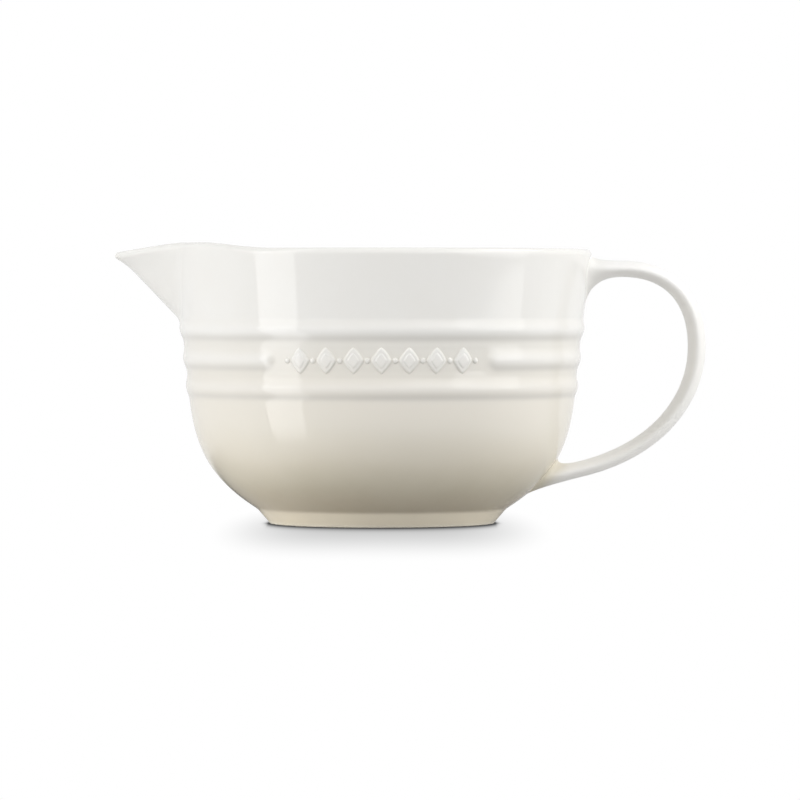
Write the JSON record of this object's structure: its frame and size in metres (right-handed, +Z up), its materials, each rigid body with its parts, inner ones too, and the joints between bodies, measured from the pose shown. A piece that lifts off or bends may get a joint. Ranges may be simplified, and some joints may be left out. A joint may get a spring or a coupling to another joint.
{
  "type": "batter bowl",
  "caption": "Deep round stoneware batter bowl with a V-shaped pouring spout, a loop handle opposite it, turned rings under the rim and a low foot.",
  "frame": {"origin": "middle of the foot's bearing face, on the table", "axes": "+Z up through the bowl's axis, +X towards the handle, -X towards the spout, -Y towards the ornament in the gap of the middle ring"},
  "size_m": [0.2716, 0.1928, 0.1288],
  "materials": {
    "white_glaze": "gloss",
    "warm_glaze": "gloss",
    "bare_foot": "matt"
  },
  "bodies": {
    "root": {"bowl_body": "white_glaze", "foot_ring": "bare_foot", "pouring_spout": "white_glaze", "handle": "white_glaze", "upper_handle_joint": "white_glaze", "lower_handle_joint": "warm_glaze", "band_sprigs": "white_glaze"}
  },
  "joints": []
}
